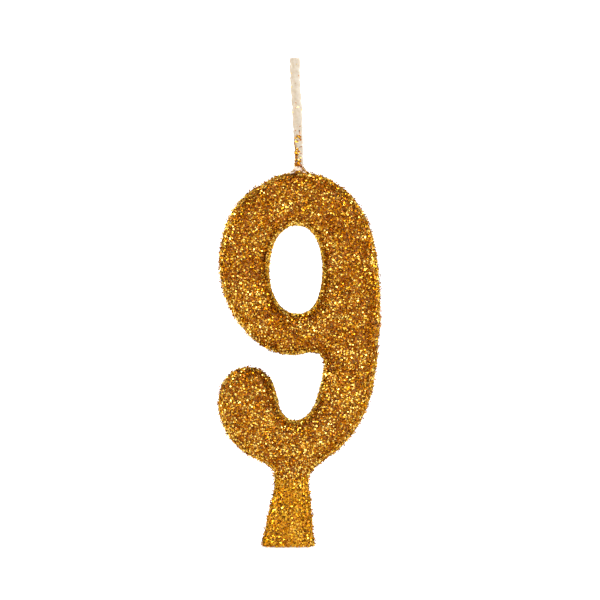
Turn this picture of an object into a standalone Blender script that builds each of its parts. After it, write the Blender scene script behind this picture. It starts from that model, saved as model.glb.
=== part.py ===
"""Number birthday candle: a cast wax nine on a tapered foot, coated in glitter, with a waxed wick.

Metres, +Z up. The face looks along -Y, and the origin is the centre of the foot's flat end.
The numeral, the glue film and the glitter coat are one outline at three depths, each a parallel
offset of the outermost surface, so that they nest like layers with a small gap between them.
"""

import math

import bmesh
import bpy

MM = 0.001

# Numeral, measured over its glitter
THICKNESS = 9.0 * MM
EDGE_ROUND = 2.6 * MM  # radius of the rounded moulded edges
ROUND_STEPS = 2
OUTER_CURVE_STEPS = 3
COUNTER_CURVE_STEPS = 7
FOOT_OVERRUN = 4.5 * MM  # the outline runs this far below the foot's end and is then cut off flat

# Layers, as depths below the outermost surface
GLITTER_THICKNESS = 0.35 * MM
LAYER_GAP = 0.10 * MM
FILM_THICKNESS = 0.15 * MM
FILM_DEPTH = GLITTER_THICKNESS + LAYER_GAP
WAX_DEPTH = FILM_DEPTH + FILM_THICKNESS + LAYER_GAP
BARE_WAX_AT_FOOT = 0.30 * MM  # the coating stops this far short of the foot's end

# Outer edge of the nine, in mm as (x, z), clockwise from the crown as seen from the front
STEM_SIDE = [
    (2.2, 69.9), (9.8, 67.3), (14.9, 60.7), (16.6, 53.0), (17.2, 45.6), (16.7, 36.8),
    (15.8, 29.9), (13.6, 23.7), (10.0, 18.9), (6.1, 15.8),
]
NECK_RIGHT = [(4.0, 13.5), (4.2, 9.4)]
NECK_LEFT = [(-3.5, 7.3), (-2.5, 12.4), (-3.1, 14.8)]
TAIL_SIDE = [
    (-7.1, 17.1), (-10.2, 19.7), (-12.2, 23.2), (-13.0, 27.6), (-11.5, 31.7), (-7.6, 33.7),
    (-3.4, 31.7), (-2.0, 28.0), (-1.2, 25.3), (1.2, 23.7), (3.9, 25.0), (5.4, 28.1),
]
BOWL_SIDE = [
    (6.5, 32.7), (6.6, 35.2), (5.6, 36.2), (0.6, 35.8), (-4.1, 37.2), (-8.0, 40.4),
    (-11.0, 45.1), (-12.7, 51.0), (-12.4, 56.7), (-10.3, 62.8), (-5.2, 67.6),
]
COUNTER = [(1.8, 60.0), (6.4, 51.4), (1.9, 43.5), (-3.5, 51.9)]

# Foot, a flat taper under the neck
FOOT_HALF_WIDTH = 5.0 * MM
FOOT_LEFT_SLOPE = 0.21
FOOT_RIGHT_SLOPE = 0.09

# Wick: a flat braid of three cotton strands in a thin coat of wax
WICK_X = 2.23 * MM
WICK_TOP = 91.2 * MM
WICK_BOTTOM = 62.5 * MM
WICK_LEAN = 0.92 * MM  # how far the tip stands to the left of the base
LEAN_START = 70.0 * MM
BORE_CLEARANCE = 0.10 * MM
COAT_HALF_WIDTH = 0.84 * MM
COAT_HALF_DEPTH = 0.66 * MM
COAT_CORNER = 0.45 * MM
COAT_WALL = 0.12 * MM
PATH_STEP = 2.0 * MM

STRAND_RADIUS = 0.19 * MM
BRAID_SWING = 0.47 * MM
BRAID_WEAVE = 0.28 * MM
BRAID_PITCH = 6.0 * MM
BRAID_STEPS = 10  # points in one pitch
STRANDS = 3
STRAND_SETBACK = 0.10 * MM  # how far a strand stops inside each end of the coat

# Drop of wax where the wick leaves the crown
CROWN_TOP = 69.9 * MM
SEAL_RADIUS = 1.50 * MM
SEAL_NECK_RADIUS = 1.12 * MM
SEAL_HEIGHT = 1.20 * MM
SEAL_STEPS = 5
SEAL_SIDES = 24

SMOOTH_ANGLE = math.radians(40)
WELD = 1e-6

# Name, colour, roughness and metallic value of each finish
FINISHES = {
    "white_wax": ((0.90, 0.86, 0.76), 0.45, 0.0),
    "clear_glue": ((0.80, 0.66, 0.42), 0.20, 0.0),
    "gold_glitter": ((0.66, 0.37, 0.05), 0.30, 1.0),
    "wick_wax": ((0.88, 0.82, 0.68), 0.50, 0.0),
    "cotton": ((0.90, 0.87, 0.79), 0.90, 0.0),
}


def clear_scene():
    for obj in list(bpy.data.objects):
        bpy.data.objects.remove(obj, do_unlink=True)


def new_collection(name, parent):
    collection = bpy.data.collections.new(name)
    parent.children.link(collection)
    return collection


def finish(name):
    colour, roughness, metallic = FINISHES[name]
    material = bpy.data.materials.get(name) or bpy.data.materials.new(name)
    material.use_nodes = True
    shader = material.node_tree.nodes["Principled BSDF"]
    shader.inputs["Base Color"].default_value = (*colour, 1.0)
    shader.inputs["Roughness"].default_value = roughness
    shader.inputs["Metallic"].default_value = metallic
    material.diffuse_color = (*colour, 1.0)
    return material


def add_smooth_loop(curve, points_mm, steps):
    """A closed spline through the points, with automatic handles."""
    spline = curve.splines.new("BEZIER")
    spline.bezier_points.add(len(points_mm) - 1)
    for anchor, (x, z) in zip(spline.bezier_points, points_mm):
        anchor.co = (x * MM, z * MM, 0)
        anchor.handle_left_type = "AUTO"
        anchor.handle_right_type = "AUTO"
    spline.use_cyclic_u = True
    spline.resolution_u = steps
    return spline


def foot_corners():
    """The two low corners of the outline, below the foot's end, right one first, in mm."""
    low = FOOT_OVERRUN / MM
    half = FOOT_HALF_WIDTH / MM
    return [(half + low * FOOT_RIGHT_SLOPE, -low), (-half - low * FOOT_LEFT_SLOPE, -low)]


def mesh_from_curve(curve_object, collection):
    """Replaces a curve object by a mesh object with its caps welded on."""
    bpy.context.view_layer.update()
    graph = bpy.context.evaluated_depsgraph_get()
    mesh = bpy.data.meshes.new_from_object(curve_object.evaluated_get(graph))
    shape = bmesh.new()
    shape.from_mesh(mesh)
    bmesh.ops.remove_doubles(shape, verts=shape.verts, dist=WELD)
    bmesh.ops.recalc_face_normals(shape, faces=shape.faces)
    shape.to_mesh(mesh)
    shape.free()
    name = curve_object.name
    matrix = curve_object.matrix_world.copy()
    bpy.data.objects.remove(curve_object, do_unlink=True)
    solid = bpy.data.objects.new(name, mesh)
    solid.matrix_world = matrix
    collection.objects.link(solid)
    return solid


def numeral_solid(name, depth, collection):
    """The nine, its foot running on below zero, at a depth below the outermost surface."""
    curve = bpy.data.curves.new(name, "CURVE")
    curve.dimensions = "2D"
    curve.fill_mode = "BOTH"
    curve.extrude = THICKNESS / 2 - EDGE_ROUND
    curve.offset = -EDGE_ROUND
    curve.bevel_depth = EDGE_ROUND - depth
    curve.bevel_resolution = ROUND_STEPS
    corners = foot_corners()
    outer = STEM_SIDE + NECK_RIGHT + corners + NECK_LEFT + TAIL_SIDE + BOWL_SIDE
    spline = add_smooth_loop(curve, outer, OUTER_CURVE_STEPS)
    first_corner = len(STEM_SIDE) + len(NECK_RIGHT)
    for anchor in spline.bezier_points[first_corner:first_corner + len(corners)]:
        anchor.handle_left_type = "VECTOR"
        anchor.handle_right_type = "VECTOR"
    add_smooth_loop(curve, COUNTER, COUNTER_CURVE_STEPS)
    curve_object = bpy.data.objects.new(name, curve)
    curve_object.rotation_euler.x = math.radians(90)
    collection.objects.link(curve_object)
    return mesh_from_curve(curve_object, collection)


def cut(target, cutter):
    modifier = target.modifiers.new("cut by " + cutter.name, "BOOLEAN")
    modifier.operation = "DIFFERENCE"
    modifier.solver = "EXACT"
    modifier.object = cutter


def as_cutter(obj):
    obj.hide_render = True
    obj.display_type = "WIRE"
    return obj


def foot_trim(name, height, collection):
    """A block that takes away everything below a height."""
    bpy.ops.mesh.primitive_cube_add(size=20 * MM, location=(0, 0, height - 10 * MM))
    block = bpy.context.object
    block.name = name
    for owner in block.users_collection:
        owner.objects.unlink(block)
    collection.objects.link(block)
    return as_cutter(block)


def wick_axis(z):
    """The x of the wick's middle at a height: upright in the wax, then leaning to the left."""
    rise = max(0.0, z - LEAN_START) / (WICK_TOP - LEAN_START)
    return WICK_X - WICK_LEAN * math.sin(math.pi / 2 * min(rise, 1.0))


def wick_section(name, half_width, half_depth, corner, collection):
    """A closed rounded rectangle, the cross-section of something swept along the wick."""
    curve = bpy.data.curves.new(name, "CURVE")
    curve.dimensions = "2D"
    centres = [(1, 1), (-1, 1), (-1, -1), (1, -1)]
    spline = curve.splines.new("POLY")
    arc = [math.radians(angle) for angle in (0, 30, 60, 90)]
    points = [
        (
            sx * (half_width - corner) + corner * math.cos(turn + quarter * math.pi / 2),
            sy * (half_depth - corner) + corner * math.sin(turn + quarter * math.pi / 2),
        )
        for quarter, (sx, sy) in enumerate(centres)
        for turn in arc
    ]
    spline.points.add(len(points) - 1)
    for point, (x, y) in zip(spline.points, points):
        point.co = (x, y, 0, 1)
    spline.use_cyclic_u = True
    section = bpy.data.objects.new(name, curve)
    collection.objects.link(section)
    return as_cutter(section)


def swept_along_wick(name, growth, bottom, top, collection, guides):
    """A solid of the wick coat's section, grown all round, from one height to another."""
    section = wick_section(
        name + "_section", COAT_HALF_WIDTH + growth, COAT_HALF_DEPTH + growth,
        COAT_CORNER + growth, guides,
    )
    curve = bpy.data.curves.new(name, "CURVE")
    curve.dimensions = "3D"
    curve.bevel_mode = "OBJECT"
    curve.bevel_object = section
    curve.use_fill_caps = True
    steps = math.ceil((top - bottom) / PATH_STEP)
    spline = curve.splines.new("POLY")
    spline.points.add(steps)
    for index, point in enumerate(spline.points):
        z = bottom + (top - bottom) * index / steps
        point.co = (wick_axis(z), 0, z, 1)
    curve_object = bpy.data.objects.new(name, curve)
    collection.objects.link(curve_object)
    solid = mesh_from_curve(curve_object, collection)
    bpy.data.objects.remove(section, do_unlink=True)
    return solid


def wick_coat(collection, cutters):
    coat = swept_along_wick("wick_wax_coat", 0.0, WICK_BOTTOM, WICK_TOP, collection, cutters)
    inside = swept_along_wick(
        "wick_coat_inside", -COAT_WALL, WICK_BOTTOM - MM, WICK_TOP + MM, cutters, cutters
    )
    cut(coat, as_cutter(inside))
    return coat


def wick_strand(number, collection):
    """One strand of the flat braid, a third of a turn behind the strand before it."""
    curve = bpy.data.curves.new(f"wick_strand_{number}", "CURVE")
    curve.dimensions = "3D"
    curve.bevel_depth = STRAND_RADIUS
    curve.bevel_resolution = 2
    curve.use_fill_caps = True
    bottom = WICK_BOTTOM + STRAND_SETBACK
    length = WICK_TOP - STRAND_SETBACK - bottom
    steps = round(BRAID_STEPS * length / BRAID_PITCH)
    spline = curve.splines.new("POLY")
    spline.points.add(steps)
    for index, point in enumerate(spline.points):
        z = bottom + length * index / steps
        turn = 2 * math.pi * ((z - bottom) / BRAID_PITCH + number / STRANDS)
        x = wick_axis(z) + BRAID_SWING * math.sin(turn)
        point.co = (x, BRAID_WEAVE * math.sin(2 * turn), z, 1)
    strand = bpy.data.objects.new(curve.name, curve)
    collection.objects.link(strand)
    return strand


def wick_seal(collection):
    """A flared drop of wax standing on the crown, turned about the wick's foot."""
    mesh = bpy.data.meshes.new("wick_seal")
    shape = bmesh.new()
    base = CROWN_TOP + LAYER_GAP
    profile = [(0.0, SEAL_HEIGHT)]
    for step in range(SEAL_STEPS + 1):
        fall = step / SEAL_STEPS
        spread = SEAL_NECK_RADIUS + (SEAL_RADIUS - SEAL_NECK_RADIUS) * fall**2
        profile.append((spread, SEAL_HEIGHT * (1 - fall)))
    profile.append((0.0, 0.0))
    points = [shape.verts.new((x, 0, z)) for x, z in profile]
    for upper, lower in zip(points, points[1:]):
        shape.edges.new((upper, lower))
    shape.to_mesh(mesh)
    shape.free()
    seal = bpy.data.objects.new("wick_seal", mesh)
    seal.location = (WICK_X, 0, base)
    collection.objects.link(seal)
    turn = seal.modifiers.new("turn", "SCREW")
    turn.steps = SEAL_SIDES
    turn.render_steps = SEAL_SIDES
    turn.use_merge_vertices = True
    turn.merge_threshold = WELD
    return seal


def finish_part(part, slot, root):
    part.data.materials.append(finish(slot))
    if part.type == "MESH" and len(part.data.polygons):
        part.data.shade_smooth()
        part.data.set_sharp_from_angle(angle=SMOOTH_ANGLE)
    part.parent = root


def build():
    clear_scene()
    scene = bpy.context.scene.collection
    parts = new_collection("number_candle", scene)
    cutters = new_collection("cutters", scene)
    root = bpy.data.objects.new("foot_centre", None)
    root.empty_display_size = 5 * MM
    parts.objects.link(root)

    wax_end = foot_trim("wax_end_trim", 0.0, cutters)
    coating_end = foot_trim("coating_end_trim", BARE_WAX_AT_FOOT, cutters)
    bore = as_cutter(
        swept_along_wick(
            "wick_bore", BORE_CLEARANCE, WICK_BOTTOM - BORE_CLEARANCE,
            CROWN_TOP + 2 * SEAL_HEIGHT, cutters, cutters,
        )
    )

    wax = numeral_solid("wax_numeral", WAX_DEPTH, parts)
    cut(wax, wax_end)
    cut(wax, bore)

    film = numeral_solid("glue_film", FILM_DEPTH, parts)
    cut(film, coating_end)
    cut(film, as_cutter(numeral_solid("film_inside", FILM_DEPTH + FILM_THICKNESS, cutters)))
    cut(film, bore)

    glitter = numeral_solid("glitter_coat", 0.0, parts)
    cut(glitter, coating_end)
    cut(glitter, as_cutter(numeral_solid("glitter_inside", GLITTER_THICKNESS, cutters)))
    cut(glitter, bore)

    seal = wick_seal(parts)
    cut(seal, bore)
    coat = wick_coat(parts, cutters)
    strands = [wick_strand(number + 1, parts) for number in range(STRANDS)]

    finish_part(wax, "white_wax", root)
    finish_part(film, "clear_glue", root)
    finish_part(glitter, "gold_glitter", root)
    finish_part(seal, "white_wax", root)
    finish_part(coat, "wick_wax", root)
    for strand in strands:
        finish_part(strand, "cotton", root)


build()
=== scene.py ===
"""Number birthday candle: the finished look of each piece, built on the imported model."""

import math

import bmesh
import bpy
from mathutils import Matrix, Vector, noise


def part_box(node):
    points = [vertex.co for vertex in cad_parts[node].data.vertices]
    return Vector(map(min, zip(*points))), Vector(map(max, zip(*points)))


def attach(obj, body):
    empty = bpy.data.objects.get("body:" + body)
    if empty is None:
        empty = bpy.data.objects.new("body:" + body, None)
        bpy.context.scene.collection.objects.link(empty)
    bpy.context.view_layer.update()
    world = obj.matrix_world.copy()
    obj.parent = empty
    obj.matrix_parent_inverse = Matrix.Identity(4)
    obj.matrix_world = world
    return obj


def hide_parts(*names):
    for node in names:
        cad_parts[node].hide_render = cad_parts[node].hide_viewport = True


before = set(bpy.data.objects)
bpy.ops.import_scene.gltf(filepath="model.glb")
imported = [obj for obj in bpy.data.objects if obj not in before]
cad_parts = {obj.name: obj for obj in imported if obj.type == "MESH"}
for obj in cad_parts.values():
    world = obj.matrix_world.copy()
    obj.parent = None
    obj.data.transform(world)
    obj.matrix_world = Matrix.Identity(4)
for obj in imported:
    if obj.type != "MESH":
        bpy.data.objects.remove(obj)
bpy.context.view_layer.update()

# ---------------------------------------------------------------------------------------------
# Cast nine: white paraffin wax poured in a mould and knocked out whole, foot and all. Only the
# flat end of the foot stays bare, so its finish is plain wax, faintly clouded and dimpled.

MM = 0.001
WAX_WHITE = (0.80, 0.74, 0.64, 1.0)
WAX_CLOUDED = (0.90, 0.86, 0.78, 1.0)
WAX_CLOUD_SIZE = 1.5 * MM
WAX_DIMPLE = 0.05 * MM
WAX_GLOW = 0.35  # share of the light that goes into the wax
WAX_GLOW_DEPTH = 0.5 * MM


def finish(name, roughness, metallic=0.0):
    """A new material and its shader, with plain roughness and metallic values."""
    material = bpy.data.materials.new(name)
    material.use_nodes = True
    shader = material.node_tree.nodes["Principled BSDF"]
    shader.inputs["Roughness"].default_value = roughness
    shader.inputs["Metallic"].default_value = metallic
    return material, shader


def add_node(tree, kind, inputs=None, **settings):
    """A new node in a tree. An input is a plain value or another node's output."""
    node = tree.nodes.new(kind)
    for key, value in settings.items():
        setattr(node, key, value)
    for key, value in (inputs or {}).items():
        named = [s for s in node.inputs if s.name == key and s.enabled]
        socket = node.inputs[key] if isinstance(key, int) else named[0]
        if isinstance(value, bpy.types.NodeSocket):
            tree.links.new(value, socket)
        else:
            socket.default_value = value
    return node


def cloudy(material, size, detail=3.0):
    """A noise over the object's own coordinates, its lumps about one size across."""
    tree = material.node_tree
    place = add_node(tree, "ShaderNodeTexCoord").outputs["Object"]
    cloud = add_node(tree, "ShaderNodeTexNoise",
                     {"Vector": place, "Scale": 1.0 / size, "Detail": detail})
    return cloud.outputs["Fac"]


def colour_ramp(material, factor, *stops):
    """The output of a colour ramp of (position, colour) stops."""
    ramp = add_node(material.node_tree, "ShaderNodeValToRGB", {"Fac": factor})
    while len(ramp.color_ramp.elements) < len(stops):
        ramp.color_ramp.elements.new(0.5)
    for element, (position, colour) in zip(ramp.color_ramp.elements, stops):
        element.position = position
        element.color = colour
    return ramp.outputs["Color"]


def bump(material, shader, height, depth):
    """Raises a height pattern on the surface, at most depth metres high."""
    raised = add_node(material.node_tree, "ShaderNodeBump",
                      {"Height": height, "Distance": depth, "Strength": 1.0})
    material.node_tree.links.new(raised.outputs["Normal"], shader.inputs["Normal"])


def lit_through(shader, share, depth):
    """Lets light some way into wax, red light the deepest."""
    shader.inputs["Subsurface Weight"].default_value = share
    shader.inputs["Subsurface Radius"].default_value = (1.0, 0.7, 0.45)
    shader.inputs["Subsurface Scale"].default_value = depth


def paraffin(name, low, high, cloud_size, roughness=0.42):
    """Pale candle wax: soft light inside it, clouded colour and a faintly uneven skin."""
    material, shader = finish(name, roughness)
    lit_through(shader, WAX_GLOW, WAX_GLOW_DEPTH)
    cloud = cloudy(material, cloud_size)
    material.node_tree.links.new(colour_ramp(material, cloud, (0.3, low), (0.7, high)),
                                 shader.inputs["Base Color"])
    bump(material, shader, cloud, WAX_DIMPLE)
    return material


wax_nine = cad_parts["wax_numeral"]
cast_wax = paraffin("cast_wax", WAX_WHITE, WAX_CLOUDED, WAX_CLOUD_SIZE)
for slot_index in range(len(wax_nine.material_slots)):
    wax_nine.material_slots[slot_index].material = cast_wax

# ---------------------------------------------------------------------------------------------
# Glue skin: clear adhesive brushed over the wax, dried amber, a little lumpy, wrapping all of the
# nine except the end of the foot. Its dark browns are painted shade for the gaps between flakes.

BODY = "root"
GLUE_RISE = 0.45 * MM  # over the wax
GLUE_WALL = 0.38 * MM
GLUE_CELL = 0.45 * MM
GLUE_LUMP = 0.16 * MM
GLUE_LUMP_SIZE = 2.2 * MM
GLUE_SOFTEN = 0.5  # how far each round of smoothing goes
GLUE_ROUNDS = 5
GLUE_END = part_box("glue_film")[0].z
GLUE_CLOUD_SIZE = 0.5 * MM
GLUE_DIMPLE = 0.1 * MM
WICK_CLEAR = 0.98 * MM  # half the gap left round the wick
CROWN_DEPTH = 2 * MM  # below the crown, down to which the skin is cleared from the wick
BORE_REACH = 1.15 * MM  # a little wider than the wick's hole
BORE_MARGIN = 1.0 * MM  # how far below the wick's end it may go
# the amber is partly the glue's own colour; the dark brown is painted shade between the flakes
GLUE_AMBER = (0.30, 0.115, 0.012, 1.0)
GLUE_SHADED_BROWN = (0.12, 0.040, 0.005, 1.0)


def mesh_object(name, mesh):
    obj = bpy.data.objects.new(name, mesh)
    bpy.context.scene.collection.objects.link(obj)
    return obj


def settle(obj):
    """Turns what the object's modifiers show into its plain mesh, and takes them off."""
    bpy.context.view_layer.update()
    graph = bpy.context.evaluated_depsgraph_get()
    obj.data = bpy.data.meshes.new_from_object(obj.evaluated_get(graph))
    obj.modifiers.clear()


def without_bore(mesh, axis_x, reach, floor):
    """The wax solid with the wick's blind hole filled, so that a skin can close over it."""
    shape = bmesh.new()
    shape.from_mesh(mesh)
    bmesh.ops.remove_doubles(shape, verts=shape.verts, dist=1e-6)
    hole = [v for v in shape.verts
            if v.co.z > floor and math.hypot(v.co.x - axis_x, v.co.y) < reach]
    bmesh.ops.delete(shape, geom=hole, context="VERTS")
    bmesh.ops.holes_fill(shape, edges=[e for e in shape.edges if e.is_boundary], sides=0)
    bmesh.ops.triangulate(shape, faces=shape.faces)
    bmesh.ops.recalc_face_normals(shape, faces=shape.faces)
    filled = bpy.data.meshes.new("filled_wax")
    shape.to_mesh(filled)
    shape.free()
    return filled


seal_low, seal_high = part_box("wick_seal")
wick_low, wick_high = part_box("wick_wax_coat")
CROWN_X = (seal_low.x + seal_high.x) / 2
CROWN_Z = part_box("glitter_coat")[1].z

skin = mesh_object("glue_skin", without_bore(
    wax_nine.data, CROWN_X, BORE_REACH, wick_low.z - BORE_MARGIN))
even = skin.modifiers.new("even cells", "REMESH")
even.mode = "VOXEL"
even.voxel_size = GLUE_CELL
soften = skin.modifiers.new("soften", "SMOOTH")
soften.factor = GLUE_SOFTEN
soften.iterations = GLUE_ROUNDS
settle(skin)
risen = []
for vertex in skin.data.vertices:
    lump = noise.noise(vertex.co / GLUE_LUMP_SIZE) * GLUE_LUMP
    risen.append(vertex.co + vertex.normal * (GLUE_RISE + lump))
for vertex, place in zip(skin.data.vertices, risen):
    vertex.co = place
skin.data.update()

# trimmed at the foot and round the wick
shape = bmesh.new()
shape.from_mesh(skin.data)
bmesh.ops.bisect_plane(
    shape, geom=shape.verts[:] + shape.edges[:] + shape.faces[:], dist=1e-7,
    plane_co=(0, 0, GLUE_END), plane_no=(0, 0, 1), clear_inner=True,
)
by_wick = []
for face in shape.faces:
    middle = face.calc_center_median()
    from_wick = math.hypot(middle.x - CROWN_X, middle.y)
    if middle.z > CROWN_Z - CROWN_DEPTH and from_wick < WICK_CLEAR:
        by_wick.append(face)
bmesh.ops.delete(shape, geom=by_wick, context="FACES")
shape.to_mesh(skin.data)
shape.free()
glitter_bed = skin.data.copy()  # the open outer surface, on which the flakes lie

wall = skin.modifiers.new("wall", "SOLIDIFY")
wall.thickness = GLUE_WALL
wall.offset = -1
settle(skin)
skin.data.shade_smooth()

amber_glue, glue_shader = finish("amber_glue", 0.35, 0.55)
glue_cloud = cloudy(amber_glue, GLUE_CLOUD_SIZE, 4.0)
amber_glue.node_tree.links.new(
    colour_ramp(amber_glue, glue_cloud, (0.35, GLUE_SHADED_BROWN), (0.65, GLUE_AMBER)),
    glue_shader.inputs["Base Color"],
)
bump(amber_glue, glue_shader, glue_cloud, GLUE_DIMPLE)
skin.data.materials.clear()
skin.data.materials.append(amber_glue)
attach(skin, BODY)
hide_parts("glue_film")

# ---------------------------------------------------------------------------------------------
# Glitter: hexagons punched from gold polyester film, sprinkled on the wet glue until none of it
# shows. Each lies at its own angle, and some stand out from the edges.

FLAKE = {
    "Flake Width": 0.26 * MM,  # across the flats
    "Flake Thickness": 0.028 * MM,
    "Size Spread": 0.22,
    "Spacing": 0.125 * MM,
    "Density": 75.0 / MM**2,
    "Tilt": math.radians(38),
    "Standing Tilt": math.radians(88),
    "Standing Share": 0.18,
    "Standing Rise": 0.12 * MM,
    "Lift": 0.15 * MM,
    "Clump Size": 0.70 * MM,
    "Clump Height": 0.30 * MM,
    "Patch Size": 3.5 * MM,  # across the duller and brighter patches
    "Patch Strength": 0.55,
    "Tone Spread": 1.0,
    "Tone Shift": 0.0,
    "Cluster Size": 1.0 * MM,
    "Cluster Cut": -1.0,  # noise below this stays bare
}
STANDING_LEAST = 0.55  # of the standing tilt
PROUD_POWER = 4.0  # few of those that stand on edge rise far
CLUMP_MIDDLE = 0.45  # of the noise, where a flake is neither raised nor sunk
FILM_METAL = 0.98
FILM_EDGE = (1.0, 0.80, 0.28, 1.0)  # tint of its grazing shine

# Film tones, one drawn at random for each flake, from dark to bright: position among the flakes,
# colour and roughness. The darkest browns are painted shade, for flakes that lie in shade or
# reflect dark surroundings; the brighter tones are the film's own gold.
FILM_TONES = (
    (0.00, (0.13, 0.022, 0.0001, 1.0), 0.38),
    (0.14, (0.19, 0.038, 0.0002, 1.0), 0.36),
    (0.24, (0.28, 0.082, 0.0150, 1.0), 0.34),
    (0.34, (0.25, 0.061, 0.0002, 1.0), 0.32),
    (0.56, (0.31, 0.096, 0.0006, 1.0), 0.27),
    (0.62, (0.37, 0.134, 0.0200, 1.0), 0.25),
    (0.68, (0.37, 0.134, 0.0015, 1.0), 0.23),
    (0.85, (0.57, 0.305, 0.0200, 1.0), 0.17),
    (1.00, (0.88, 0.620, 0.1500, 1.0), 0.14),
)

gold_film, film_shader = finish("gold_film", 0.3, FILM_METAL)
film_shader.inputs["Specular Tint"].default_value = FILM_EDGE
film_tree = gold_film.node_tree
film_tone = add_node(film_tree, "ShaderNodeAttribute", attribute_name="tone").outputs["Fac"]
film_tree.links.new(colour_ramp(gold_film, film_tone, *[(at, c) for at, c, _ in FILM_TONES]),
                    film_shader.inputs["Base Color"])
film_tree.links.new(
    colour_ramp(gold_film, film_tone, *[(at, (r, r, r, 1.0)) for at, _, r in FILM_TONES]),
    film_shader.inputs["Roughness"],
)


def first_output(node):
    return next(o for o in node.outputs if o.enabled)


def maths(tree, operation, *values):
    return first_output(add_node(tree, "ShaderNodeMath", dict(enumerate(values)),
                                 operation=operation))


def new_tree(name, numbers):
    """A geometry tree with these number inputs, and its input node."""
    tree = bpy.data.node_groups.new(name, "GeometryNodeTree")
    tree.interface.new_socket("Geometry", in_out="INPUT", socket_type="NodeSocketGeometry")
    for label in numbers:
        tree.interface.new_socket(label, in_out="INPUT", socket_type="NodeSocketFloat")
    tree.interface.new_socket("Seed", in_out="INPUT", socket_type="NodeSocketInt")
    tree.interface.new_socket("Geometry", in_out="OUTPUT", socket_type="NodeSocketGeometry")
    return tree, add_node(tree, "NodeGroupInput").outputs


def run_tree(obj, tree, values):
    """Grows a tree on an object with these input values, and keeps the plain mesh."""
    grown = obj.modifiers.new(tree.name, "NODES")
    grown.node_group = tree
    for item in tree.interface.items_tree:
        if item.in_out == "INPUT" and item.name in values:
            grown[item.identifier] = values[item.name]
    settle(obj)


def sprinkle_tree():
    """Scatters tilted hexagonal flakes over a surface, each with a tone of its own."""
    tree, given = new_tree("sprinkle", FLAKE)

    # each draw has a salt of its own, so that the draws don't follow one another
    def chance(low, high, salt):
        return first_output(add_node(
            tree, "FunctionNodeRandomValue", data_type="FLOAT",
            inputs={"Min": low, "Max": high, "Seed": maths(tree, "ADD", given["Seed"], salt)},
        ))

    def lumps(size, detail):
        noisy = add_node(tree, "ShaderNodeTexNoise",
                         {"Scale": maths(tree, "DIVIDE", 1.0, size), "Detail": detail})
        return noisy.outputs["Fac"]

    stuck = maths(tree, "GREATER_THAN", lumps(given["Cluster Size"], 2.0), given["Cluster Cut"])
    spread = add_node(
        tree, "GeometryNodeDistributePointsOnFaces", distribute_method="POISSON",
        inputs={"Mesh": given["Geometry"], "Distance Min": given["Spacing"],
                "Density Max": given["Density"], "Density Factor": stuck,
                "Seed": given["Seed"]},
    )
    hexagon = add_node(
        tree, "GeometryNodeMeshCone", fill_type="NGON",
        inputs={"Vertices": 6, "Radius Top": 0.0, "Depth": given["Flake Thickness"],
                "Radius Bottom": maths(tree, "DIVIDE", given["Flake Width"], math.sqrt(3))},
    )
    face_up = add_node(tree, "GeometryNodeTransform",
                       {"Geometry": hexagon.outputs["Mesh"], "Rotation": (math.pi, 0, 0)})

    # most lie nearly flat and a few stand on edge
    stands = maths(tree, "LESS_THAN", chance(0.0, 1.0, 3), given["Standing Share"])
    lying = maths(tree, "MULTIPLY", given["Tilt"], chance(0.0, 1.0, 5))
    standing = maths(tree, "MULTIPLY", given["Standing Tilt"], chance(STANDING_LEAST, 1.0, 7))
    reach = maths(tree, "ADD", lying,
                  maths(tree, "MULTIPLY", stands, maths(tree, "SUBTRACT", standing, lying)))
    lean = add_node(tree, "ShaderNodeCombineXYZ",
                    {"X": reach, "Z": chance(0.0, 2 * math.pi, 9)})
    aim = add_node(tree, "FunctionNodeRotateRotation", rotation_space="LOCAL",
                   inputs={"Rotation": spread.outputs["Rotation"], "Rotate By": lean.outputs[0]})
    proud = maths(tree, "MULTIPLY", stands,
                  maths(tree, "POWER", chance(0.0, 1.0, 17), PROUD_POWER))
    clump = maths(tree, "MULTIPLY", given["Clump Height"],
                  maths(tree, "SUBTRACT", lumps(given["Clump Size"], 1.0), CLUMP_MIDDLE))
    rise = add_node(tree, "ShaderNodeVectorMath", operation="SCALE", inputs={
        0: spread.outputs["Normal"],
        "Scale": maths(tree, "ADD",
                       maths(tree, "ADD", clump,
                             maths(tree, "MULTIPLY", given["Standing Rise"], proud)),
                       maths(tree, "MULTIPLY", given["Lift"], chance(0.0, 1.0, 13))),
    })
    lifted = add_node(tree, "GeometryNodeSetPosition",
                      {"Geometry": spread.outputs["Points"], "Offset": rise.outputs[0]})

    # tone: chance, shifted in patches and by the piece's Tone Shift, which on the rims and in the
    # hollows is painted light
    patch = maths(tree, "MULTIPLY", given["Patch Strength"],
                  maths(tree, "SUBTRACT", lumps(given["Patch Size"], 2.0), 0.5))
    spread_out = maths(tree, "MULTIPLY", given["Tone Spread"], chance(-0.5, 0.5, 15))
    tone = maths(tree, "ADD", maths(tree, "ADD", 0.5, spread_out),
                 maths(tree, "ADD", patch, given["Tone Shift"]))
    toned = add_node(tree, "GeometryNodeStoreNamedAttribute", data_type="FLOAT", domain="POINT",
                     inputs={"Geometry": lifted.outputs[0], "Name": "tone", "Value": tone})
    smallest = maths(tree, "SUBTRACT", 1.0, given["Size Spread"])
    largest = maths(tree, "ADD", 1.0, given["Size Spread"])
    placed = add_node(tree, "GeometryNodeInstanceOnPoints", {
        "Points": toned.outputs[0], "Instance": face_up.outputs[0],
        "Rotation": aim.outputs[0], "Scale": chance(smallest, largest, 11),
    })
    real = add_node(tree, "GeometryNodeRealizeInstances", {"Geometry": placed.outputs[0]})
    coated = add_node(tree, "GeometryNodeSetMaterial",
                      {"Geometry": real.outputs[0], "Material": gold_film})
    tree.links.new(coated.outputs[0], add_node(tree, "NodeGroupOutput").inputs[0])
    return tree


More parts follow.
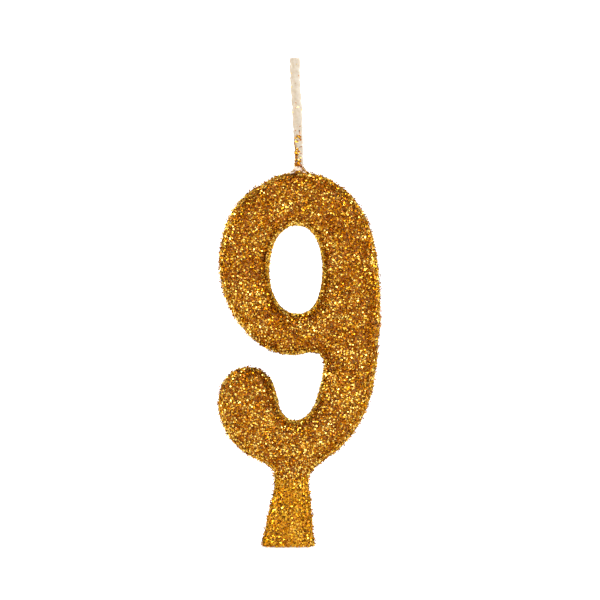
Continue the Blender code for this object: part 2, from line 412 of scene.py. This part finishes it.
def part_of_bed(bed, keep):
    """The faces of the bed whose middle and normal pass a test."""
    cut = bmesh.new()
    cut.from_mesh(bed)
    others = [f for f in cut.faces if not keep(f.calc_center_median(), f.normal)]
    bmesh.ops.delete(cut, geom=others, context="FACES")
    piece = bpy.data.meshes.new("bed_part")
    cut.to_mesh(piece)
    cut.free()
    return piece


EDGE_TURN = 0.60  # a normal that points less than this to the front or back is on the edge
# middle and reach, across and up, of the hole in the nine and the gap over its tail
HOLLOWS = (
    (Vector((1.7 * MM, 51.9 * MM)), Vector((6.4 * MM, 9.6 * MM))),
    (Vector((2.0 * MM, 30.0 * MM)), Vector((5.6 * MM, 7.5 * MM))),
)
FOOT_TOP = 13.0 * MM
WAIST = 36.5 * MM
SHOULDER = 54.0 * MM
sprinkle = sprinkle_tree()


def in_hollow(place):
    return any(math.hypot((place.x - middle.x) / reach.x, (place.z - middle.y) / reach.y) < 1
               for middle, reach in HOLLOWS)


sides = {
    "front": (lambda place, normal: normal.y < -EDGE_TURN, {}),
    "back": (lambda place, normal: normal.y > EDGE_TURN, {}),
    # painted light: the rim's flakes get lighter tones, to brighten the edges where they lie in
    # shade
    "rim": (lambda place, normal: abs(normal.y) <= EDGE_TURN and not in_hollow(place),
            {"Standing Share": 0.22, "Standing Tilt": math.radians(65),
             "Standing Rise": 0.42 * MM, "Tone Shift": 0.20}),
    # painted light: the flakes in the hole and the gap over the tail get much lighter tones,
    # painted against the shade there
    "hollow": (lambda place, normal: abs(normal.y) <= EDGE_TURN and in_hollow(place),
               {"Clump Height": 0.26 * MM, "Lift": 0.20 * MM, "Standing Share": 0.10,
                "Tone Shift": 0.42}),
}
# from and to height, and what differs there
heights = {
    "foot": (0.0, FOOT_TOP, {"Tone Shift": 0.17, "Tone Spread": 0.42, "Patch Strength": 0.3,
                              "Tilt": math.radians(24),
                              "Clump Height": 0.20 * MM, "Standing Share": 0.07}),
    "lower": (FOOT_TOP, WAIST, {"Tone Shift": 0.05}),
    "upper": (WAIST, SHOULDER, {}),
    "crown": (SHOULDER, 1.0, {}),
}
seed = 10
for side, (faces_side, by_side) in sides.items():
    for height, (low, high, by_height) in heights.items():
        seed += 1
        bed = part_of_bed(glitter_bed, lambda place, normal:
                          faces_side(place, normal) and low < place.z <= high)
        if not bed.polygons:
            continue
        glitter = mesh_object(f"glitter_{height}_{side}", bed)
        # where both have a tone of their own, the brighter holds
        shift = max(by_side.get("Tone Shift", 0.0), by_height.get("Tone Shift", 0.0))
        own = {"Tone Shift": shift, "Seed": seed}
        run_tree(glitter, sprinkle, FLAKE | by_height | by_side | own)
        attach(glitter, BODY)
        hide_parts("glitter_coat")

# ---------------------------------------------------------------------------------------------
# Wick yarns: three cotton yarns plaited flat, each twisted from four plies. They run down into
# the wax, and their cut ends show at the top.

PLAIT = {
    "Bottom": wick_low.z, "Top": wick_high.z - 0.04 * MM, "Pitch": 6.0 * MM,
    "Swing": 0.44 * MM, "Weave": 0.26 * MM, "Root": CROWN_X, "Lean": 0.92 * MM,
    "Lean Start": CROWN_Z + 0.1 * MM, "Ply Offset": 0.105 * MM, "Ply Radius": 0.098 * MM,
    "Ply Pitch": 1.3 * MM, "Phase": 0.0,
}
PLIES = 4
YARN_STEPS = 180
PLY_SIDES = 7
COTTON_DULL = (0.62, 0.50, 0.36, 1.0)
COTTON_PALE = (0.86, 0.78, 0.64, 1.0)
COTTON_FIBRE = 0.12 * MM
COTTON_FUZZ = 0.03 * MM

cotton, cotton_shader = finish("cotton", 0.85)
cotton_cloud = cloudy(cotton, COTTON_FIBRE, 2.0)
cotton.node_tree.links.new(
    colour_ramp(cotton, cotton_cloud, (0.3, COTTON_DULL), (0.7, COTTON_PALE)),
    cotton_shader.inputs["Base Color"],
)
bump(cotton, cotton_shader, cotton_cloud, COTTON_FUZZ)


def plait_tree():
    """One yarn of the plait: four plies wound about a path that weaves from side to side."""
    tree, given = new_tree("plait_yarn", PLAIT)

    def wave(turns, phase, function):
        angle = maths(tree, "MULTIPLY", 2 * math.pi, maths(tree, "ADD", turns, phase))
        return maths(tree, function, angle)

    line = add_node(tree, "GeometryNodeMeshLine", {"Count": YARN_STEPS})
    path = add_node(tree, "GeometryNodeMeshToCurve", {"Mesh": line.outputs[0]})
    plies = add_node(tree, "GeometryNodeDuplicateElements", domain="SPLINE",
                     inputs={"Geometry": path.outputs[0], "Amount": PLIES})
    ply = maths(tree, "DIVIDE", plies.outputs["Duplicate Index"], PLIES)
    along = add_node(tree, "GeometryNodeSplineParameter").outputs["Factor"]
    length = maths(tree, "SUBTRACT", given["Top"], given["Bottom"])
    height = maths(tree, "ADD", given["Bottom"], maths(tree, "MULTIPLY", along, length))
    risen = maths(tree, "SUBTRACT", height, given["Bottom"])
    woven = maths(tree, "DIVIDE", risen, given["Pitch"])
    wound = maths(tree, "ADD", maths(tree, "DIVIDE", risen, given["Ply Pitch"]), ply)
    tilt_range = maths(tree, "SUBTRACT", given["Top"], given["Lean Start"])
    past = maths(tree, "DIVIDE", maths(tree, "SUBTRACT", height, given["Lean Start"]), tilt_range)
    leaning = maths(tree, "MINIMUM", 1.0, maths(tree, "MAXIMUM", 0.0, past))
    bend = maths(tree, "SINE", maths(tree, "MULTIPLY", math.pi / 2, leaning))
    axis = maths(tree, "SUBTRACT", given["Root"], maths(tree, "MULTIPLY", given["Lean"], bend))
    across = maths(tree, "MULTIPLY", given["Swing"], wave(woven, given["Phase"], "SINE"))
    twice = maths(tree, "MULTIPLY", 2.0, maths(tree, "ADD", woven, given["Phase"]))
    depth = maths(tree, "MULTIPLY", given["Weave"], wave(twice, 0.0, "SINE"))
    place = add_node(tree, "ShaderNodeCombineXYZ", {
        "X": maths(tree, "ADD", maths(tree, "ADD", axis, across),
                   maths(tree, "MULTIPLY", given["Ply Offset"], wave(wound, 0.0, "COSINE"))),
        "Y": maths(tree, "ADD", depth,
                   maths(tree, "MULTIPLY", given["Ply Offset"], wave(wound, 0.0, "SINE"))),
        "Z": height,
    })
    wound_path = add_node(tree, "GeometryNodeSetPosition",
                          {"Geometry": plies.outputs["Geometry"], "Position": place.outputs[0]})
    ring = add_node(tree, "GeometryNodeCurvePrimitiveCircle",
                    {"Resolution": PLY_SIDES, "Radius": given["Ply Radius"]})
    tube = add_node(tree, "GeometryNodeCurveToMesh",
                    {"Curve": wound_path.outputs[0], "Profile Curve": ring.outputs[0],
                     "Fill Caps": True})
    real = add_node(tree, "GeometryNodeRealizeInstances", {"Geometry": tube.outputs[0]})
    coated = add_node(tree, "GeometryNodeSetMaterial",
                      {"Geometry": real.outputs[0], "Material": cotton})
    tree.links.new(coated.outputs[0], add_node(tree, "NodeGroupOutput").inputs[0])
    return tree


plait_yarn = plait_tree()
for number in (1, 2, 3):
    yarn = mesh_object(f"wick_yarn_{number}", bpy.data.meshes.new("yarn"))
    run_tree(yarn, plait_yarn, PLAIT | {"Phase": number / 3})
    yarn.data.shade_smooth()
    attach(yarn, BODY)
    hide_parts(f"wick_strand_{number}")

# ---------------------------------------------------------------------------------------------
# Wick wax: the plait is primed by drawing it through molten wax, which leaves a thin cream coat
# that shows the yarns faintly, and is then cut square at the top.

WICK_RINGS = 240
WICK_SIDES = 40
COAT_DEPTH_SHARE = 0.78  # of the half width
YARN_REACH = 0.40 * MM  # of a waxed yarn about its own path
YARN_SHOWS = 0.35  # share of a yarn's bulge that the wax follows
OVAL_POWER = 2.4  # over 2 is squarer than an ellipse
LUMP_SIZE, LUMP_DEPTH = 0.9 * MM, 0.05 * MM
GRAIN_SIZE, GRAIN_DEPTH = 0.3 * MM, 0.015 * MM
# the cut top, from its edge inwards: share of the width, and how far down
TOP_RINGS = (
    (0.93, -0.01 * MM), (0.86, 0.05 * MM), (0.80, 0.16 * MM), (0.6, 0.22 * MM), (0.3, 0.22 * MM),
)
TOP_SINK = 0.03 * MM
TOP_UNEVEN, TOP_UNEVEN_SIZE = 0.05 * MM, 0.5 * MM
# height, middle and half width, measured up the wick
WICK_RUN = [(z * MM, x * MM, w * MM) for z, x, w in (
    (62.5, 2.23, 0.80), (69.0, 2.16, 0.86), (70.5, 2.12, 0.84), (72.5, 2.03, 0.77),
    (74.0, 2.03, 0.78), (76.0, 1.94, 0.83), (78.0, 1.82, 0.90), (80.0, 1.76, 0.95),
    (81.5, 1.69, 0.97), (83.5, 1.55, 0.94), (85.5, 1.42, 0.93), (87.5, 1.33, 0.93),
    (89.5, 1.29, 0.97), (91.2, 1.30, 1.02),
)]


def smooth_between(run, height):
    """The values of a run of (height, ...) rows at a height, eased between its rows."""
    for below, above in zip(run, run[1:]):
        if height <= above[0] or above is run[-1]:
            share = min(1.0, max(0.0, (height - below[0]) / (above[0] - below[0])))
            share = share * share * (3 - 2 * share)
            return [a + (b - a) * share for a, b in zip(below[1:], above[1:])]


def wick_ring(height, shrink=1.0):
    """Points round the waxed plait at a height, bulging where a yarn comes to the outside."""
    middle, half = smooth_between(WICK_RUN, height)
    turn = 2 * math.pi * (height - PLAIT["Bottom"]) / PLAIT["Pitch"]
    yarns = [(PLAIT["Swing"] * math.sin(turn + 2 * math.pi * n / 3),
              PLAIT["Weave"] * math.sin(2 * (turn + 2 * math.pi * n / 3))) for n in (1, 2, 3)]
    points = []
    for step in range(WICK_SIDES):
        angle = 2 * math.pi * step / WICK_SIDES
        way = Vector((math.cos(angle), math.sin(angle)))
        wide = abs(way.x / half) ** OVAL_POWER
        deep = abs(way.y / (half * COAT_DEPTH_SHARE)) ** OVAL_POWER
        oval = 1 / (wide + deep) ** (1 / OVAL_POWER)
        outermost = 0.0
        for x, y in yarns:
            along = x * way.x + y * way.y
            aside = x * way.y - y * way.x
            if abs(aside) < YARN_REACH:
                outermost = max(outermost, along + math.sqrt(YARN_REACH**2 - aside**2))
        bulge = (outermost - oval) * YARN_SHOWS
        place = Vector((middle + way.x * oval, way.y * oval, height))
        lumpy = noise.noise(place / LUMP_SIZE) * LUMP_DEPTH
        rough = lumpy + noise.noise(place / GRAIN_SIZE) * GRAIN_DEPTH
        points.append(way * (oval + bulge + rough))
    fit = shrink * half / max(abs(p.x) for p in points)
    return [Vector((middle + p.x * fit, p.y * fit, height)) for p in points]


def skinned(name, rings):
    """A closed mesh over rings of points, capped at both ends."""
    shape = bmesh.new()
    loops = [[shape.verts.new(p) for p in ring] for ring in rings]
    for lower, upper in zip(loops, loops[1:]):
        for n in range(len(lower)):
            following = (n + 1) % len(lower)
            shape.faces.new((lower[n], lower[following], upper[following], upper[n]))
    shape.faces.new(list(reversed(loops[0])))
    shape.faces.new(loops[-1])
    bmesh.ops.recalc_face_normals(shape, faces=shape.faces)
    mesh = bpy.data.meshes.new(name)
    shape.to_mesh(mesh)
    shape.free()
    return mesh


rings = [wick_ring(wick_low.z + (wick_high.z - wick_low.z) * n / WICK_RINGS)
         for n in range(WICK_RINGS + 1)]
for shrink, sink in TOP_RINGS:
    rings.append([p - Vector((0, 0, sink)) for p in wick_ring(wick_high.z, shrink)])
for ring in rings[WICK_RINGS:]:
    for place in ring:
        place.z -= TOP_SINK + TOP_UNEVEN * noise.noise(place / TOP_UNEVEN_SIZE)
wick_mesh = skinned("wick_wax", rings)
wick_mesh.shade_smooth()
# how far to the right each point faces, from -1 to 1
rightness = [math.cos(2 * math.pi * (n % WICK_SIDES) / WICK_SIDES)
             for n in range(len(wick_mesh.vertices))]
wick_mesh.attributes.new("to_right", "FLOAT", "POINT").data.foreach_set("value", rightness)
waxed_wick = mesh_object("waxed_wick", wick_mesh)


def share_between(tree, value, low, high):
    """How far a value lies on its way from low to high, from 0 to 1."""
    return add_node(tree, "ShaderNodeMapRange",
                    {"Value": value, "From Min": low, "From Max": high}).outputs["Result"]


# cream wax, from dull to pale: place in the cloud, pushed up by the painted light on the right,
# and colour
WICK_CREAMS = (
    (0.34, (0.375, 0.307, 0.223, 1.0)),
    (0.50, (0.415, 0.348, 0.264, 1.0)),
    (0.66, (0.455, 0.404, 0.326, 1.0)),
)
WICK_CLOUD_SIZE = 0.55 * MM
WICK_DIMPLE = 0.04 * MM
WICK_GLOW = 0.3
WICK_GLOW_DEPTH = 0.3 * MM
# painted light: how much lighter the wax is painted on its right side
PAINTED_LIGHT_RIGHT = 0.14
wick_wax, wick_shader = finish("wick_wax", 0.5)
lit_through(wick_shader, WICK_GLOW, WICK_GLOW_DEPTH)
wick_cloud = cloudy(wick_wax, WICK_CLOUD_SIZE, 4.0)
wick_tree = wick_wax.node_tree
to_right = add_node(wick_tree, "ShaderNodeAttribute", attribute_name="to_right").outputs["Fac"]
# painted light: the wax is made lighter on its right, where the key light falls, and darker on its
# left
cloud_and_painted_light = maths(wick_tree, "MULTIPLY_ADD", to_right, PAINTED_LIGHT_RIGHT, wick_cloud)
wax_with_painted_light = colour_ramp(wick_wax, cloud_and_painted_light, *WICK_CREAMS)
# brown glue crept up its foot, most on the left
SMEAR_TOP = 76.8 * MM
SMEAR_FULL = 75.2 * MM
SMEAR_SIZE = 1.0 * MM
SMEAR_FROM, SMEAR_TO = 0.46, 0.60  # of the noise that breaks it into patches
SMEAR_EVERYWHERE, SMEAR_LEFTWARD = 0.45, -0.35
GLUE_SMEAR = (0.28, 0.150, 0.060, 1.0)
rest_place = add_node(wick_tree, "ShaderNodeTexCoord").outputs["Object"]
height = add_node(wick_tree, "ShaderNodeSeparateXYZ", {"Vector": rest_place}).outputs["Z"]
low_down = share_between(wick_tree, height, SMEAR_TOP, SMEAR_FULL)
patchy = share_between(wick_tree, cloudy(wick_wax, SMEAR_SIZE), SMEAR_FROM, SMEAR_TO)
leftward = maths(wick_tree, "MULTIPLY_ADD", to_right, SMEAR_LEFTWARD, SMEAR_EVERYWHERE)
soaked = maths(wick_tree, "MULTIPLY", low_down, maths(wick_tree, "MULTIPLY", patchy, leftward))
smeared = add_node(wick_tree, "ShaderNodeMix", {0: soaked, 6: wax_with_painted_light, 7: GLUE_SMEAR},
                   data_type="RGBA")
wick_tree.links.new(smeared.outputs[2], wick_shader.inputs["Base Color"])
bump(wick_wax, wick_shader, wick_cloud, WICK_DIMPLE)
waxed_wick.data.materials.append(wick_wax)
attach(waxed_wick, BODY)
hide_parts("wick_wax_coat")

# ---------------------------------------------------------------------------------------------
# Wax drop at the crown: wax that crept up the wick as it was set in the soft nine, and froze in
# a small flared collar.

COLLAR_SIDES = 48
COLLAR_LEFT = 0.2 * MM  # of the middle of the wick's bore
COLLAR_RUN = [(z * MM, r * MM) for z, r in (
    (68.8, 1.0), (69.1, 2.3), (69.5, 2.2), (69.7, 1.9), (69.95, 1.55), (70.2, 1.28),
    (70.5, 1.08), (70.9, 0.88), (71.1, 0.70),
)]
COLLAR_UNEVEN = 0.13
COLLAR_LUMP_SIZE = 0.8 * MM
DROP_TAN = (0.50, 0.38, 0.28, 1.0)
DROP_CREAM = (0.60, 0.49, 0.39, 1.0)
DROP_CLOUD_SIZE = 0.6 * MM
rings = []
for height, radius in COLLAR_RUN:
    middle = Vector((CROWN_X - COLLAR_LEFT, 0, height))
    ring = []
    for step in range(COLLAR_SIDES):
        angle = 2 * math.pi * step / COLLAR_SIDES
        out = Vector((math.cos(angle), math.sin(angle), 0)) * radius
        uneven = 1 + COLLAR_UNEVEN * noise.noise((middle + out) / COLLAR_LUMP_SIZE)
        ring.append(middle + out * uneven)
    rings.append(ring)
collar = mesh_object("wax_collar", skinned("collar", rings))
rounding = collar.modifiers.new("round", "SUBSURF")
rounding.levels = rounding.render_levels = 2
settle(collar)
collar.data.shade_smooth()
collar_wax = paraffin("collar_wax", DROP_TAN, DROP_CREAM, DROP_CLOUD_SIZE, 0.35)
collar.data.materials.clear()
collar.data.materials.append(collar_wax)
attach(collar, BODY)
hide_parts("wick_seal")

# ---------------------------------------------------------------------------------------------
# Stray glitter: flakes that stuck to the foot of the wick while its wax was soft, thick just
# above the crown and thinning to single specks higher up.

STRAY = FLAKE | {
    "Flake Width": 0.27 * MM, "Spacing": 0.12 * MM, "Tilt": math.radians(30),
    "Standing Share": 0.15, "Standing Rise": 0.03 * MM, "Lift": 0.04 * MM,
    "Clump Height": 0.0, "Patch Strength": 0.0, "Tone Shift": 0.06,
}
RAGGED_SIZE = 0.9 * MM
RAGGED_REACH = 3.0 * MM
RIGHT_FROM = 0.30  # how far a normal turns right before it counts as the right side
COLLAR_FROM = 69.4 * MM  # the height above which the collar takes flakes
COLLAR_UNDERSIDE = -0.1  # normals that turn further down than this stay bare


def wick_stretch(low, high, facing):
    """A length of the waxed wick with ragged ends, on the sides that pass a test."""
    def within(place, normal):
        ragged = place.z + noise.noise(place / RAGGED_SIZE) * RAGGED_REACH
        return low < ragged < high and facing(normal)
    return part_of_bed(wick_mesh, within)


strays_on = {
    "stray_glitter_left": (
        wick_stretch(69.2 * MM, 77.0 * MM, lambda normal: normal.x < RIGHT_FROM),
        {"Density": 70.0 / MM**2, "Cluster Cut": 0.49, "Cluster Size": 1.5 * MM, "Seed": 71}),
    "stray_glitter_right": (
        wick_stretch(69.6 * MM, 75.2 * MM, lambda normal: normal.x >= RIGHT_FROM),
        {"Density": 30.0 / MM**2, "Cluster Cut": 0.56, "Cluster Size": 0.9 * MM, "Seed": 72}),
    "stray_glitter_high": (
        wick_stretch(76.4 * MM, 90.2 * MM, lambda normal: True),
        {"Density": 0.5 / MM**2, "Flake Width": 0.24 * MM, "Tone Shift": 0.3, "Seed": 75}),
    "collar_glitter": (
        part_of_bed(collar.data, lambda place, normal:
                    place.z > COLLAR_FROM and normal.z > COLLAR_UNDERSIDE),
        {"Density": 60.0 / MM**2, "Cluster Cut": 0.52, "Cluster Size": 1.0 * MM, "Seed": 77}),
}
for name, (bed, changes) in strays_on.items():
    strays = mesh_object(name, bed)
    run_tree(strays, sprinkle, STRAY | changes)
    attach(strays, BODY)

# ---------------------------------------------------------------------------------------------
# Stage: a pale floor and backdrop, six round soft lights, and a long lens square to the face.
# The floor and backdrop glow a little, so that they stay white.

VIEW_HEIGHT = 111.7 * MM  # what the lens takes in where the candle stands
VIEW_CENTRE = Vector((2.234 * MM, 0, 46.13 * MM))
CAMERA_DISTANCE = 1.5
SENSOR = 36.0
CARD_GREY = (0.60, 0.60, 0.60, 1.0)
WHITE = (1.0, 1.0, 1.0, 1.0)
FLOOR_GLOW = 0.78
BACKDROP_GLOW = 0.9


def stage_plane(name, size, location, rotation, glow):
    bpy.ops.mesh.primitive_plane_add(size=size, location=location, rotation=rotation)
    plane = bpy.context.object
    plane.name = name
    card, shader = finish(name + "_card", 0.9)
    shader.inputs["Base Color"].default_value = CARD_GREY
    shader.inputs["Emission Color"].default_value = WHITE
    shader.inputs["Emission Strength"].default_value = glow
    plane.data.materials.append(card)


stage_plane("floor", 30.0, (0, 0, 0), (0, 0, 0), FLOOR_GLOW)
stage_plane("backdrop", 6.0, (0, 2.5, 1.5), (math.radians(90), 0, 0), BACKDROP_GLOW)


def soft_light(name, size, brightness, location):
    """A round soft light of this brightness per area, aimed at the candle."""
    lamp = bpy.data.lights.new(name, "AREA")
    lamp.shape = "DISK"
    lamp.size = size
    lamp.energy = brightness * math.pi * math.pi * (size / 2) ** 2
    holder = bpy.data.objects.new(name, lamp)
    bpy.context.scene.collection.objects.link(holder)
    holder.location = location
    holder.rotation_euler = (VIEW_CENTRE - Vector(location)).to_track_quat("-Z", "Y").to_euler()


# width, brightness and place
LIGHTS = {
    "key": (0.46, 11.5, (0.50, -0.90, 0.65)),
    "fill": (0.40, 8.0, (-0.75, -0.80, 0.25)),
    "top": (0.46, 11.5, (-0.15, -0.45, 1.05)),
    "front": (0.40, 3.6, (0.12, -1.20, 0.22)),
    "right side": (0.45, 11.0, (0.95, 0.15, 0.30)),
    "left side": (0.45, 9.0, (-0.95, 0.15, 0.30)),
}
for name, (size, brightness, location) in LIGHTS.items():
    soft_light(name, size, brightness, location)

TENT_DIM = (0.175, 0.142, 0.126, 1.0)
TENT_BRIGHTNESS = 1.15
TENT_OPEN, TENT_CLOSED = -0.6, 0.1  # how far back a direction points, from the opening to the wall
world = bpy.data.worlds.new("studio")
bpy.context.scene.world = world
world.use_nodes = True
# a light tent: white round the sides and back, dim and warmer on the open side in front
studio = world.node_tree
facing = add_node(studio, "ShaderNodeSeparateXYZ",
                  {0: add_node(studio, "ShaderNodeTexCoord").outputs["Generated"]}).outputs["Y"]
tent = add_node(studio, "ShaderNodeMapRange",
                {"Value": facing, "From Min": TENT_OPEN, "From Max": TENT_CLOSED},
                interpolation_type="SMOOTHSTEP")
studio.links.new(
    colour_ramp(world, tent.outputs["Result"], (0.0, TENT_DIM), (1.0, WHITE)),
    studio.nodes["Background"].inputs["Color"],
)
studio.nodes["Background"].inputs["Strength"].default_value = TENT_BRIGHTNESS
bpy.context.scene.view_settings.view_transform = "Standard"

lens = bpy.data.cameras.new("camera")
lens.sensor_width = SENSOR
lens.lens = SENSOR * CAMERA_DISTANCE / VIEW_HEIGHT
lens.clip_end = 10.0
camera = bpy.data.objects.new("camera", lens)
bpy.context.scene.collection.objects.link(camera)
camera.location = VIEW_CENTRE + Vector((0, -CAMERA_DISTANCE, 0))
camera.rotation_euler = (math.radians(90), 0, 0)
bpy.context.scene.camera = camera
